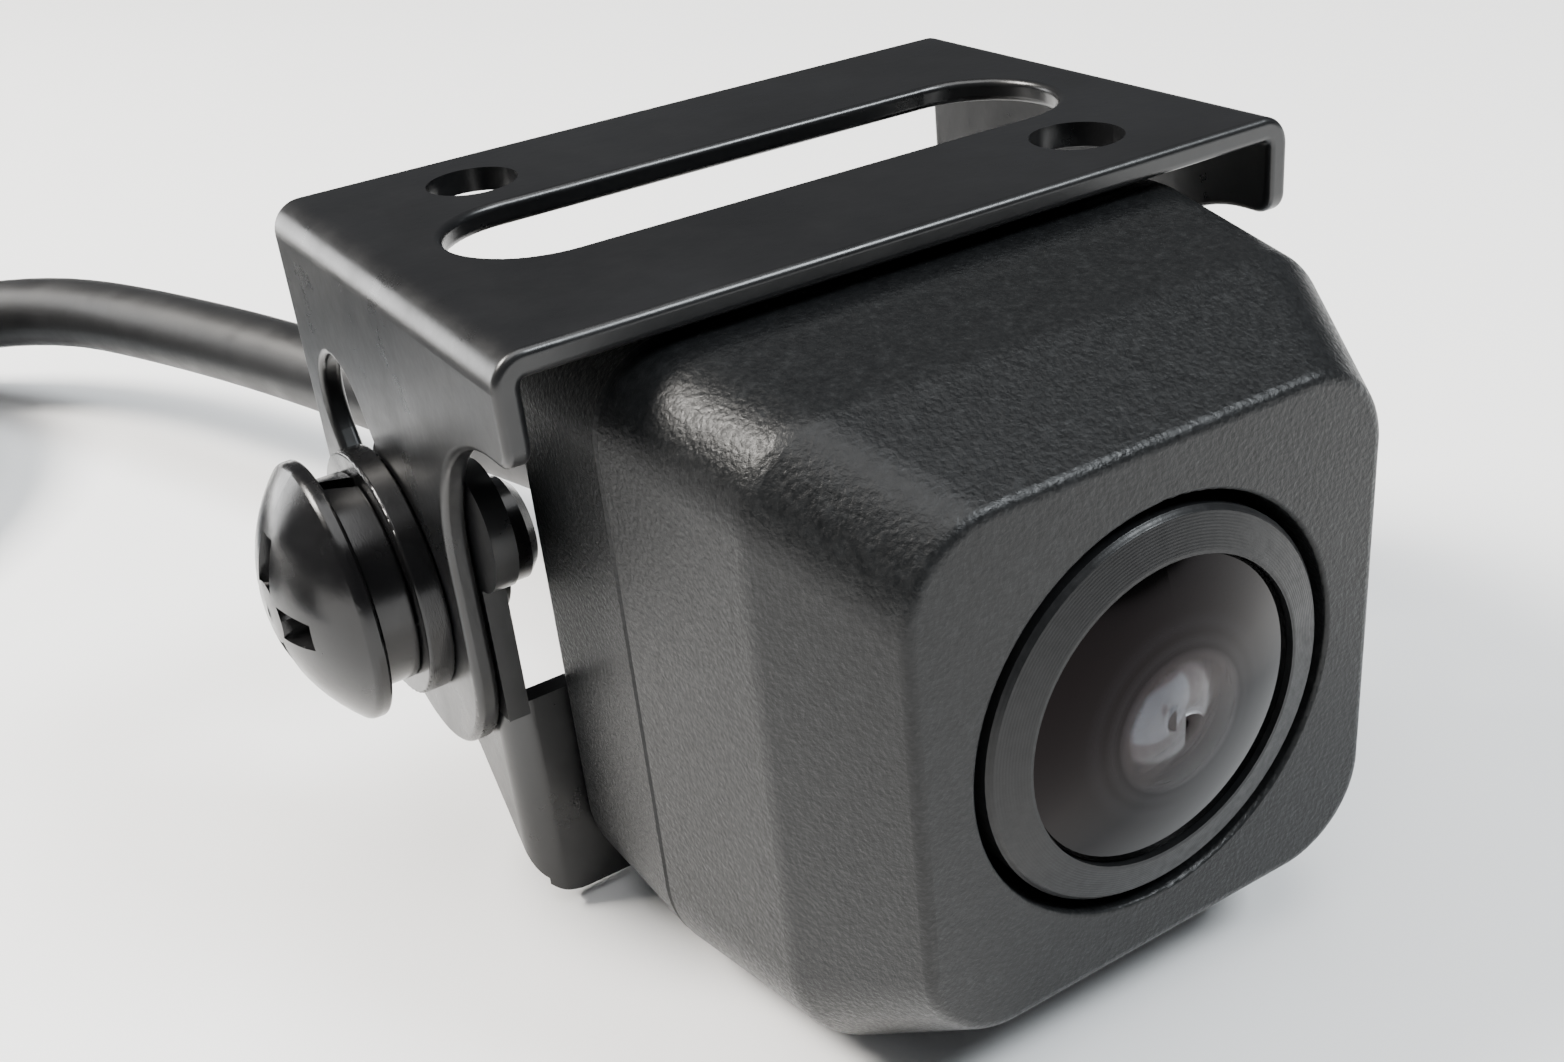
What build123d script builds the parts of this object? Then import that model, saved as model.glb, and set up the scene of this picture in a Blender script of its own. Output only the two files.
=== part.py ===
from build123d import *
import math
import os

# Backup camera: a square housing in a sheet-metal bracket, with its cable and in-line connector.
# +X is to the right seen from in front, the lens faces -Y, +Z is up, and the housing stands on z = 0.
os.makedirs("parts", exist_ok=True)

# Housing. Depths are counted rearwards from the front face.
face_y = -14.1
lens_z = 12.1
housing_half = 11.7
edge_depth = 4.5
parting_depth = 10.9
back_depth = 17.3
face_round = 0.45
edge_round = 1.6
back_round = 0.6
parting_chamfer = 0.12
wall = 1.8
front_wall = 4.6
back_wall = 1.5
# (depth, half width, height above the lens axis, height below it, upper corner radius, lower corner radius)
stations = [
    (0, 8.7, 8.7, 8.7, 3.1, 3.1),
    (edge_depth, 10.75, 10.65, 11.8, 2.9, 4.3),
    (parting_depth, housing_half, 11.3, 12.1, 2.8, 4.4),
    (back_depth, housing_half, 11.3, 12.1, 2.8, 4.4),
]
boss_spread = 8.2
boss_radius = 1.9
back_boss_radius = 2.2
boss_start = 5.0
counterbore = 1.3
seal_outer = 0.7
seal_inner = 1.3
seal_depth = 0.7

# Lens
groove_radius = 6.8
hole_round = 0.15
ring_radius = 6.39
opening_radius = 5.03
ring_depth = 2.0
flange_depth = 2.6
shelf_depth = 3.6
barrel_radius = 5.95
barrel_end = 8.0
lens_radius = 2.4
running_gap = 0.05

# Boards and the lens holder
board_half = 8.5
sensor_board_depth = 9.6
board_thickness = 0.8
processor_board_depth = 12.0
spacer_x = 7.2
board_screw_radius = 0.75
holder_base_half = 5.6
holder_base_front = 7.4
holder_front = 5.0
holder_radius = 7.0
sensor_pocket_half = 3.7
plug_z = 15.7
plug_height = 2.2
wire_y = -0.2

# M2 machine screws
screw_radius = 0.95
screw_hole = 1.0
screw_head = 1.75
screw_head_height = 1.3
bracket_boss_radius = 1.7
bracket_boss_height = 1.6

# Camera bracket, on the back of the housing
sheet = 0.8
bend_inside = 0.25
wing_outer = 13.9
wing_back = 6.8
wing_radius = 4.7
wing_front = 2.9
wing_nose = 1.0
wing_top = 18.4
wing_round = 2.2
wing_foot_y = 6.85
wing_foot_z = 5.7
window_z = 9.1
plate_bottom = 0.5
plate_corner = 1.8
tongue_half = 8.4
tongue_top = 16.9
tongue_round = 2.2
collar_radius = 2.7
collar_height = 1.2

# Mounting bracket, which tilts about the pivot
pivot_y = 8.4
pivot_z = 13.0
bracket_width = 29.6
bracket_sheet = 0.85
bracket_top = 24.7
plate_y = 5.4
plate_depth = 19.4
plate_slot = 23.8
plate_slot_width = 6.15
plate_hole = 1.625
plate_hole_places = [(-8.45, plate_y + 6.2), (8.45, plate_y - 6.2)]
ear_drop = 19.0
ear_front = plate_y - plate_depth / 2
ear_back = plate_y + plate_depth / 2
ear_under_z = 21.2
ear_corner = 0.7
ear_radius = 4.7
ear_end_y = 7.6
ear_end_z = 11.1
ear_taper = 54.6
ear_taper_z = (
    ear_end_z
    - ear_radius * math.cos(math.radians(ear_taper))
    + (ear_back - ear_end_y - ear_radius * math.sin(math.radians(ear_taper)))
    * math.tan(math.radians(ear_taper))
)
hollow = 6.0
leg_front = ear_end_y - ear_radius
ear_slot_width = 4.6
ear_slot_end_z = 11.7
ear_slot_top_y = 11.3
ear_slot_top_z = 17.7
sheet_edge_round = 0.25

# M4 clamp screws on the pivot, with their washers
clamp_shank = 1.95
clamp_head = 4.7
clamp_head_height = 2.5
head_rim = 0.5
clamp_length = 6.9
flat_washer_radius = 4.5
flat_washer_thickness = 0.95
spring_washer_radius = 3.8
spring_washer_thickness = 1.4
spring_split = 0.7
washer_gap = 0.02

# Cable with its gland and relief, its put-away coil and the tie round it
cable_radius = 2.1
cable_z = 7.2
gland_radius = 3.2
gland_flange = 4.1
gland_flange_thickness = 0.8
relief_radius = 4.0
relief_tip = 2.75
relief_end_y = 13.0
relief_rings = 5
coil_x = -49.0
coil_y = 68.0
coil_radius = 21.0
coil_lift = 0.5
tie_thickness = 0.5
tie_gap = 0.35
tie_width = 5.0
cable_start_y = face_y + back_depth - back_wall - gland_flange_thickness
cable_route = [
    (0, cable_start_y, cable_z),
    (0, 17.5, cable_z),
    (-3.9, 32.0, 7.1),
    (-10.0, 50.5, 7.6),
    (-17.6, 70.0, 6.9),
    (-30.2, 82.9, 3.0),
    (coil_x, coil_y + coil_radius + cable_radius, coil_lift + cable_radius),
]

# In-line connector, lying beside the coil
connector_x = -69.5
connector_y = 45.5
connector_z = 6.2
collar_outer = 6.15
boot_length = 9.0
bearing_radius = 4.7
nose_start = 20.5
nose_end = 27.0
nose_radius = 4.0
insert_start = 21.0
insert_radius = 3.15
contact_circle = 1.6
contact_count = 4
contact_radius = 0.48
contact_length = 4.0
collar_thread = 5.3
collar_end = 29.0
grip_count = 16
tail_route = [
    (-72.1, 67.0, 6.8),
    (-72.2, 60.5, 6.7),
    (connector_x, 50.5, connector_z),
    (connector_x, connector_y - boot_length, connector_z),
]

lens_axis = Axis((0, 0, lens_z), (0, 1, 0))
lens_section = Plane(origin=(0, face_y, lens_z), x_dir=(0, 1, 0), z_dir=(1, 0, 0))
cable_axis = Axis((0, 0, cable_z), (0, 1, 0))
cable_section = Plane(origin=(0, 0, cable_z), x_dir=(0, 1, 0), z_dir=(1, 0, 0))
parting_y = face_y + parting_depth
back_y = face_y + back_depth
plate_back_y = back_y + sheet
boss_places = [
    (x * boss_spread, housing_half + z * boss_spread) for x in (-1, 1) for z in (-1, 1)
]
bracket_screw_places = [(-6.0, 14.4), (6.0, 14.4), (-6.3, cable_z), (6.3, cable_z)]


def across(depth):
    """Plane square to the lens axis, this far behind the front face, facing forwards."""
    return Plane.XZ.offset(-(face_y + depth))


def station_at(depth):
    """The housing's outline at a depth, between its stations."""
    for near, far in zip(stations, stations[1:]):
        if depth <= far[0]:
            share = (depth - near[0]) / (far[0] - near[0])
            return [a + share * (b - a) for a, b in zip(near[1:], far[1:])]
    return list(stations[-1][1:])


def housing_outline(depth, inset=0.0):
    """The rounded square of the housing at a depth, drawn in by the inset."""
    half_width, above, below, upper_round, lower_round = station_at(depth)
    with BuildSketch(across(depth)) as outline:
        with Locations((0, lens_z + (above - below) / 2)):
            Rectangle(2 * (half_width - inset), above + below - 2 * inset)
        fillet(outline.vertices().group_by(Axis.Y)[-1], upper_round - inset * 0.9)
        fillet(outline.vertices().group_by(Axis.Y)[0], lower_round - inset * 0.9)
    return outline.sketch


def rounded_end(plane, centre, width, height, end, radius):
    """A rectangle on a plane, with the two corners of its last (-1) or first (0) end rounded."""
    with BuildSketch(plane) as outline:
        with Locations(centre):
            Rectangle(width, height)
        fillet(outline.vertices().group_by(Axis.Y)[end], radius)
    return outline.sketch


def edges_at(builder, axis, place):
    """The edges that lie whole in one plane square to an axis."""
    return builder.edges().filter_by_position(axis, place - 0.001, place + 0.001)


def turned(points, section, axis):
    """A solid of revolution from a closed outline of (along, radius) points."""
    with BuildPart() as body:
        with BuildSketch(section):
            with BuildLine():
                Polyline(*points, close=True)
            make_face()
        revolve(axis=axis)
    return body.part


def cap(apex, rim, reach):
    """The half arc of a spherical face, from its apex on the axis to its rim at a radius."""
    rise = rim - apex
    curve = (reach**2 + rise**2) / (2 * rise)
    half_turn = math.asin(reach / abs(curve)) / 2
    middle = (apex + curve * (1 - math.cos(half_turn)), abs(curve) * math.sin(half_turn))
    return (apex, 0), middle, (rim, reach)


def lens_element(front, back, radius, back_radius):
    """A round lens between two spherical faces, each given as its depths at the axis and the rim."""
    front_points, back_points = cap(*front, radius), cap(*back, back_radius)
    rim = [front_points[2], (back_points[2][0], radius)]
    if back_radius < radius:
        rim.append(back_points[2])
    with BuildPart() as lens:
        with BuildSketch(lens_section):
            with BuildLine():
                ThreePointArc(*front_points)
                Polyline(*rim)
                ThreePointArc(*back_points)
                Line(back_points[0], front_points[0])
            make_face()
        revolve(axis=lens_axis)
    return lens.part


def cross_recess(plane, arm, width, deep):
    """The tapered cross of a screwdriver recess, sunk against the plane's normal."""
    with BuildPart() as recess:
        with BuildSketch(plane):
            Rectangle(2 * arm, width)
            Rectangle(width, 2 * arm)
            Circle(width * 0.85)
        extrude(amount=-deep, taper=14)
    return recess.part


def machine_screw(origin, shank, head_height):
    """An M2 pan-head screw whose head stands on the origin, driven along -Y."""
    seat = Plane(origin=origin, x_dir=(1, 0, 0), z_dir=(0, 1, 0))
    with BuildPart() as screw:
        with BuildSketch(seat):
            Circle(screw_head)
        extrude(amount=head_height)
        fillet(screw.edges().group_by(Axis.Y)[-1], head_height * 0.45)
        add(cross_recess(seat.offset(head_height), 1.0, 0.4, 0.8), mode=Mode.SUBTRACT)
        with BuildSketch(seat):
            Circle(screw_radius)
        extrude(amount=-shank)
        chamfer(screw.edges().group_by(Axis.Y)[0], 0.25)
    return screw.part


def board_outline(depth):
    """A square board, cut round at the corners to pass the screw bosses."""
    with BuildSketch(across(depth)) as outline:
        with Locations((0, lens_z)):
            Rectangle(2 * board_half, 2 * board_half)
        with Locations(*boss_places):
            Circle(back_boss_radius + 0.2, mode=Mode.SUBTRACT)
    return outline.sketch


# ---- Housings -------------------------------------------------------------------------------

with BuildPart() as front_housing:
    loft(
        [
            housing_outline(0),
            housing_outline(edge_depth),
            housing_outline(parting_depth - parting_chamfer),
            housing_outline(parting_depth, parting_chamfer),
        ],
        ruled=True,
    )
    fillet(edges_at(front_housing, Axis.Y, face_y + edge_depth), edge_round)
    fillet(edges_at(front_housing, Axis.Y, face_y), face_round)
    loft(
        [housing_outline(front_wall, wall), housing_outline(parting_depth, wall)],
        ruled=True,
        mode=Mode.SUBTRACT,
    )
    with BuildSketch(across(parting_depth)):
        with Locations(*boss_places):
            Circle(boss_radius)
    extrude(amount=parting_depth - boss_start)
    with BuildSketch(across(parting_depth)):
        with Locations(*boss_places):
            Circle(screw_hole)
    extrude(amount=parting_depth - boss_start - 0.6, mode=Mode.SUBTRACT)
    with BuildSketch(across(shelf_depth)):
        with Locations((0, lens_z)):
            Circle(groove_radius)
    extrude(amount=shelf_depth, mode=Mode.SUBTRACT)
    hole_edge = edges_at(front_housing, Axis.Y, face_y).filter_by(GeomType.CIRCLE)
    fillet(hole_edge.sort_by(SortBy.RADIUS)[-1], hole_round)
    with BuildSketch(across(front_wall)):
        with Locations((0, lens_z)):
            Circle(barrel_radius + 0.15)
    extrude(amount=front_wall, mode=Mode.SUBTRACT)
front_housing.part.label = "front_housing"
export_step(front_housing.part, "parts/front_housing.step")

with BuildPart() as housing_seal:
    extrude(housing_outline(parting_depth, seal_outer), amount=-seal_depth)
    extrude(housing_outline(parting_depth, seal_inner), amount=-seal_depth, mode=Mode.SUBTRACT)
housing_seal.part.label = "housing_seal"
export_step(housing_seal.part, "parts/housing_seal.step")

with BuildPart() as rear_housing:
    extrude(housing_outline(back_depth), amount=back_depth - parting_depth)
    fillet(edges_at(rear_housing, Axis.Y, back_y), back_round)
    chamfer(edges_at(rear_housing, Axis.Y, parting_y), parting_chamfer)
    extrude(
        housing_outline(back_depth - back_wall, wall),
        amount=back_depth - back_wall - parting_depth,
        mode=Mode.SUBTRACT,
    )
    with BuildSketch(across(back_depth - back_wall)):
        with Locations(*boss_places):
            Circle(back_boss_radius)
    extrude(amount=back_depth - back_wall - parting_depth)
    with BuildSketch(across(back_depth - back_wall)):
        with Locations(*bracket_screw_places):
            Circle(bracket_boss_radius)
    extrude(amount=bracket_boss_height)
    add(housing_seal.part, mode=Mode.SUBTRACT)
    # Screw holes: clearance through the corner bosses with counterbores, pilots for the bracket
    with BuildSketch(across(back_depth)):
        with Locations(*boss_places):
            Circle(screw_hole)
    extrude(amount=back_depth - parting_depth, mode=Mode.SUBTRACT)
    with BuildSketch(across(back_depth)):
        with Locations(*boss_places):
            Circle(screw_head + 0.15)
    extrude(amount=counterbore, mode=Mode.SUBTRACT)
    with BuildSketch(across(back_depth)):
        with Locations(*bracket_screw_places):
            Circle(screw_hole)
    extrude(amount=back_wall + bracket_boss_height - 0.4, mode=Mode.SUBTRACT)
    with BuildSketch(across(back_depth)):
        with Locations((0, cable_z)):
            Circle(gland_radius + running_gap)
    extrude(amount=back_wall, mode=Mode.SUBTRACT)
rear_housing.part.label = "rear_housing"
export_step(rear_housing.part, "parts/rear_housing.step")

with BuildPart() as housing_screws:
    for x, z in boss_places:
        seat = (x, face_y + back_depth - counterbore, z)
        add(machine_screw(seat, back_depth - counterbore - boss_start - 1.0, screw_head_height))
housing_screws.part.label = "housing_screws"
export_step(housing_screws.part, "parts/housing_screws.step")

with BuildPart() as bracket_screws:
    for x, z in bracket_screw_places:
        add(machine_screw((x, plate_back_y, z), 3.2, screw_head_height))
bracket_screws.part.label = "bracket_screws"
export_step(bracket_screws.part, "parts/bracket_screws.step")

# ---- Lens: outlines are (depth, radius) about the lens axis ---------------------------------

lens_ring = turned(
    [
        (-0.3, opening_radius),
        (-0.3, opening_radius + 0.12),
        (-0.02, ring_radius - 0.16),
        (0.14, ring_radius),
        (ring_depth, ring_radius),
        (ring_depth, 5.8),
        (0.9, 5.8),
        (0.9, opening_radius),
    ],
    lens_section,
    lens_axis,
)
lens_ring.label = "lens_ring"
export_step(lens_ring, "parts/lens_ring.step")

front_lens = lens_element((-1.0, -0.1), (-0.25, 1.15), opening_radius - running_gap, 4.2)
front_lens.label = "front_lens"
export_step(front_lens, "parts/front_lens.step")

# The outline holds the light baffle's steps round the inner tube
lens_barrel = turned(
    [
        (1.16, 5.75),
        (ring_depth, 5.75),
        (ring_depth, ring_radius),
        (flange_depth, ring_radius),
        (flange_depth, 5.55),
        (shelf_depth, 5.55),
        (shelf_depth, barrel_radius),
        (barrel_end, barrel_radius),
        (barrel_end, lens_radius + running_gap),
        (0.65, lens_radius + running_gap),
        (0.5, 2.75),
        (1.35, 2.9),
        (1.35, 3.15),
        (2.1, 3.25),
        (2.1, 3.5),
        (1.75, 3.55),
        (1.75, 3.8),
        (2.0, 3.85),
        (2.0, 4.15),
        (1.16, 4.4),
    ],
    lens_section,
    lens_axis,
)
lens_barrel.label = "lens_barrel"
export_step(lens_barrel, "parts/lens_barrel.step")

second_lens = lens_element((-0.05, 0.9), (1.8, 2.1), lens_radius, lens_radius)
second_lens.label = "second_lens"
export_step(second_lens, "parts/second_lens.step")

lens_spacer = turned([(2.2, 1.7), (2.2, 2.35), (4.75, 2.35), (4.75, 1.7)], lens_section, lens_axis)
lens_spacer.label = "lens_spacer"
export_step(lens_spacer, "parts/lens_spacer.step")

rear_lens = lens_element((4.6, 5.05), (7.4, 7.0), lens_radius, lens_radius)
rear_lens.label = "rear_lens"
export_step(rear_lens, "parts/rear_lens.step")

with BuildPart() as lens_seal:
    with BuildSketch(lens_section):
        with Locations(((flange_depth + shelf_depth) / 2, 6.1)):
            Circle((shelf_depth - flange_depth) / 2)
    revolve(axis=lens_axis)
lens_seal.part.label = "lens_seal"
export_step(lens_seal.part, "parts/lens_seal.step")

# ---- Sensor and boards ----------------------------------------------------------------------

with BuildPart() as lens_holder:
    with BuildSketch(across(sensor_board_depth)):
        with Locations((0, lens_z)):
            Rectangle(2 * board_half, 2 * holder_base_half)
    extrude(amount=sensor_board_depth - holder_base_front)
    with BuildSketch(across(holder_base_front)):
        with Locations((0, lens_z)):
            Circle(holder_radius)
    extrude(amount=holder_base_front - holder_front)
    with BuildSketch(across(barrel_end + 0.1)):
        with Locations((0, lens_z)):
            Circle(barrel_radius + running_gap)
    extrude(amount=barrel_end, mode=Mode.SUBTRACT)
    with BuildSketch(across(sensor_board_depth)):
        with Locations((0, lens_z)):
            Rectangle(2 * sensor_pocket_half, 2 * sensor_pocket_half)
    extrude(amount=sensor_board_depth - barrel_end, mode=Mode.SUBTRACT)
    with BuildSketch(across(sensor_board_depth)):
        with Locations((-spacer_x, lens_z), (spacer_x, lens_z)):
            Circle(board_screw_radius + running_gap)
    extrude(amount=sensor_board_depth - holder_base_front, mode=Mode.SUBTRACT)
lens_holder.part.label = "lens_holder"
export_step(lens_holder.part, "parts/lens_holder.step")

with BuildPart() as infrared_filter:
    with BuildSketch(across(barrel_end + 0.5)):
        with Locations((0, lens_z)):
            Rectangle(2 * sensor_pocket_half - 0.1, 2 * sensor_pocket_half - 0.1)
    extrude(amount=0.3)
infrared_filter.part.label = "infrared_filter"
export_step(infrared_filter.part, "parts/infrared_filter.step")

with BuildPart() as image_sensor:
    with BuildSketch(across(sensor_board_depth)):
        with Locations((0, lens_z)):
            Rectangle(6.4, 6.4)
    extrude(amount=0.9)
    chamfer(edges_at(image_sensor, Axis.Y, face_y + sensor_board_depth - 0.9), 0.1)
image_sensor.part.label = "image_sensor"
export_step(image_sensor.part, "parts/image_sensor.step")

for name, depth in (
    ("sensor_board", sensor_board_depth),
    ("processor_board", processor_board_depth),
):
    with BuildPart() as board:
        extrude(board_outline(depth), amount=-board_thickness)
        with BuildSketch(across(depth)):
            with Locations((-spacer_x, lens_z), (spacer_x, lens_z)):
                Circle(board_screw_radius + running_gap)
        extrude(amount=-board_thickness, mode=Mode.SUBTRACT)
    board.part.label = name
    export_step(board.part, f"parts/{name}.step")

with BuildPart() as board_spacers:
    with BuildSketch(across(processor_board_depth)):
        with Locations((-spacer_x, lens_z), (spacer_x, lens_z)):
            Circle(1.15)
            Circle(board_screw_radius + running_gap, mode=Mode.SUBTRACT)
    extrude(amount=processor_board_depth - sensor_board_depth - board_thickness)
board_spacers.part.label = "board_spacers"
export_step(board_spacers.part, "parts/board_spacers.step")

with BuildPart() as board_screws:
    with BuildSketch(across(processor_board_depth + board_thickness)):
        with Locations((-spacer_x, lens_z), (spacer_x, lens_z)):
            Circle(1.3)
    extrude(amount=-0.7)
    with BuildSketch(across(processor_board_depth + board_thickness)):
        with Locations((-spacer_x, lens_z), (spacer_x, lens_z)):
            Circle(board_screw_radius)
    extrude(amount=processor_board_depth + board_thickness - holder_base_front - 0.3)
board_screws.part.label = "board_screws"
export_step(board_screws.part, "parts/board_screws.step")

with BuildPart() as board_connector:
    with BuildSketch(across(processor_board_depth)):
        with Locations((0, lens_z + 6.2)):
            Rectangle(8.0, 2.0)
    extrude(amount=processor_board_depth - sensor_board_depth - board_thickness)
board_connector.part.label = "board_connector"
export_step(board_connector.part, "parts/board_connector.step")

with BuildPart() as processor_chip:
    with BuildSketch(across(processor_board_depth)):
        with Locations((0, lens_z - 1.0)):
            Rectangle(7.0, 7.0)
    extrude(amount=0.9)
processor_chip.part.label = "processor_chip"
export_step(processor_chip.part, "parts/processor_chip.step")

with BuildPart() as wire_plug:
    with BuildSketch(across(processor_board_depth + board_thickness)):
        with Locations((0, plug_z)):
            Rectangle(6.6, 3.2)
    extrude(amount=-plug_height)
wire_plug.part.label = "wire_plug"
export_step(wire_plug.part, "parts/wire_plug.step")

with BuildPart() as inner_wires:
    for x in (-1.35, -0.45, 0.45, 1.35):
        with BuildLine() as wire_path:
            FilletPolyline(
                (x, wire_y, plug_z - 1.6),
                (x, wire_y, cable_z),
                (x, cable_start_y, cable_z),
                radius=0.8,
            )
        with BuildSketch(Plane(origin=(x, wire_y, plug_z - 1.6), z_dir=(0, 0, -1))):
            Circle(0.35)
        sweep(path=wire_path.line)
inner_wires.part.label = "inner_wires"
export_step(inner_wires.part, "parts/inner_wires.step")

# ---- Camera bracket -------------------------------------------------------------------------

with BuildPart() as camera_bracket:
    # Channel open to the rear, bent from one sheet
    channel_middle = (back_y + wing_back) / 2
    channel = rounded_end(
        Plane.XY.offset(plate_bottom),
        (0, channel_middle),
        2 * wing_outer,
        wing_back - back_y,
        0,
        sheet + bend_inside,
    )
    channel_inside = rounded_end(
        Plane.XY.offset(plate_bottom),
        (0, channel_middle + sheet),
        2 * (wing_outer - sheet),
        wing_back - back_y,
        0,
        bend_inside,
    )
    extrude(channel, amount=window_z - plate_bottom)
    extrude(channel_inside, amount=window_z - plate_bottom, mode=Mode.SUBTRACT)
    # Rounded lower corners, seen from behind
    corners = rounded_end(
        across(back_depth), (0, plate_bottom + 10), 2 * wing_outer, 20, 0, plate_corner
    )
    extrude(corners, amount=back_y - wing_back, mode=Mode.INTERSECT)
    # Tongue that stands up behind the housing
    tongue = rounded_end(
        across(back_depth),
        (0, (plate_bottom + tongue_top) / 2),
        2 * tongue_half,
        tongue_top - plate_bottom,
        -1,
        tongue_round,
    )
    extrude(tongue, amount=-sheet)
    # Wings against the insides of the ears, cut back below the pivot
    for outward in (-1, 1):
        wing_plane = Plane.YZ.offset(outward * (wing_outer - sheet / 2))
        with BuildSketch(wing_plane):
            with BuildLine():
                Polyline(
                    (plate_back_y - 0.6, 1.4),
                    (wing_foot_y, wing_foot_z),
                    (wing_back + 1, wing_foot_z),
                    (wing_back + 1, -1),
                    (plate_back_y - 0.6, -1),
                    close=True,
                )
            make_face()
        extrude(amount=sheet / 2 + 0.15, both=True, mode=Mode.SUBTRACT)
        with BuildSketch(wing_plane):
            with BuildLine():
                Polyline(
                    (wing_front, window_z - 0.3),
                    (wing_front, wing_top - 2 * wing_round),
                    (wing_nose, wing_top - wing_round),
                    (wing_nose + wing_round, wing_top),
                    (pivot_y, pivot_z + wing_radius - 0.01),
                    (pivot_y, pivot_z),
                    (pivot_y + wing_radius * 0.528, pivot_z - wing_radius * 0.849),
                    (wing_foot_y, wing_foot_z),
                    (wing_foot_y - 1.2, wing_foot_z),
                    (wing_foot_y - 1.2, window_z - 0.3),
                    close=True,
                )
            make_face()
            with Locations((pivot_y, pivot_z)):
                Circle(wing_radius)
            with Locations((wing_nose + wing_round, wing_top - wing_round)):
                Circle(wing_round)
        extrude(amount=sheet / 2, both=True)
        with BuildSketch(Plane.YZ.offset(outward * wing_outer)):
            with Locations((pivot_y, pivot_z)):
                Circle(collar_radius)
        extrude(amount=-outward * (sheet + collar_height))
    with BuildSketch(Plane.YZ):
        with Locations((pivot_y, pivot_z)):
            Circle(clamp_shank + running_gap)
    extrude(amount=wing_outer + 1, both=True, mode=Mode.SUBTRACT)
    with BuildSketch(across(back_depth)):
        with Locations((0, cable_z)):
            Circle(gland_radius + 0.3)
        with Locations(*bracket_screw_places):
            Circle(screw_hole + 0.1)
    extrude(amount=-sheet, mode=Mode.SUBTRACT)
camera_bracket.part.label = "camera_bracket"
export_step(camera_bracket.part, "parts/camera_bracket.step")

# ---- Mounting bracket -----------------------------------------------------------------------

with BuildPart() as mounting_bracket:
    # Channel open below, bent from one sheet
    bracket_front = Plane.XZ.offset(plate_depth / 2 - plate_y)
    bracket_channel = rounded_end(
        bracket_front,
        (0, bracket_top - ear_drop / 2),
        bracket_width,
        ear_drop,
        -1,
        bracket_sheet + bend_inside,
    )
    bracket_inside = rounded_end(
        bracket_front,
        (0, bracket_top - bracket_sheet - ear_drop / 2),
        bracket_width - 2 * bracket_sheet,
        ear_drop,
        -1,
        bend_inside,
    )
    extrude(bracket_channel, amount=-plate_depth)
    extrude(bracket_inside, amount=-plate_depth, mode=Mode.SUBTRACT)
    # Outline of the ears, seen from the side
    with BuildSketch(Plane.YZ) as ears:
        with BuildLine():
            front = Line((ear_front, bracket_top + 1), (ear_front, ear_under_z))
            under = Line(front @ 1, (leg_front - hollow, ear_under_z))
            bay = JernArc(under @ 1, (1, 0), hollow, -90)
            leg = Line(bay @ 1, (leg_front, ear_end_z))
            round_end = JernArc(leg @ 1, (0, -1), ear_radius, 90 + ear_taper)
            taper = Line(round_end @ 1, (ear_back, ear_taper_z))
            Polyline(taper @ 1, (ear_back, bracket_top + 1), front @ 0)
        make_face()
        fillet(ears.vertices().sort_by_distance((ear_front, ear_under_z))[0], ear_corner)
    extrude(amount=bracket_width, both=True, mode=Mode.INTERSECT)
    with BuildSketch(Plane.YZ):
        SlotCenterPoint(
            ((ear_end_y + ear_slot_top_y) / 2, (ear_slot_end_z + ear_slot_top_z) / 2),
            (ear_slot_top_y, ear_slot_top_z),
            ear_slot_width,
        )
    extrude(amount=bracket_width, both=True, mode=Mode.SUBTRACT)
    with BuildSketch(Plane.XY.offset(bracket_top)):
        with Locations((0, plate_y)):
            SlotOverall(plate_slot, plate_slot_width)
        with Locations(*plate_hole_places):
            Circle(plate_hole)
    extrude(amount=-2 * bracket_sheet, mode=Mode.SUBTRACT)
    soft_edges = mounting_bracket.edges().filter_by(lambda edge: edge.length > 0.9 and not edge.is_closed)
    fillet(soft_edges, sheet_edge_round)
mounting_bracket.part.label = "mounting_bracket"
export_step(mounting_bracket.part, "parts/mounting_bracket.step")

# ---- Clamp screws and their washers ---------------------------------------------------------

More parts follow.
